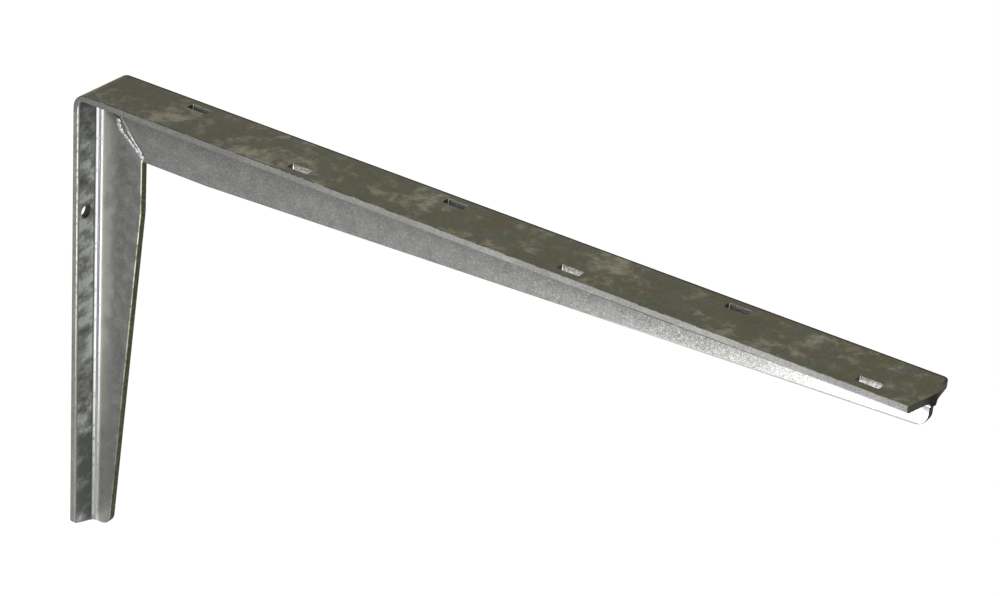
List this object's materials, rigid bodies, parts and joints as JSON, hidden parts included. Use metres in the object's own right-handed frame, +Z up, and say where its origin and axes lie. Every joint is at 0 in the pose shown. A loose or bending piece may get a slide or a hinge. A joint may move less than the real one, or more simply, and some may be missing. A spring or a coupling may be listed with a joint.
{
  "type": "shelf bracket",
  "caption": "Angled shelf bracket of galvanised T bar: a long arm under the shelf, a shorter leg on the wall, tapered webs, a welded mitre and staggered slots.",
  "frame": {"origin": "the line where the wall plane meets the plane under the shelf, at the middle of the bracket's width", "axes": "+X out from the wall along the arm, +Y across the width, +Z up towards the shelf; the leg runs down -Z"},
  "size_m": [0.55, 0.04, 0.3],
  "materials": {
    "galvanised_steel": "hot-dip galvanised, weathered to a dull grey"
  },
  "bodies": {
    "root": {"bracket": "galvanised_steel"}
  },
  "joints": []
}
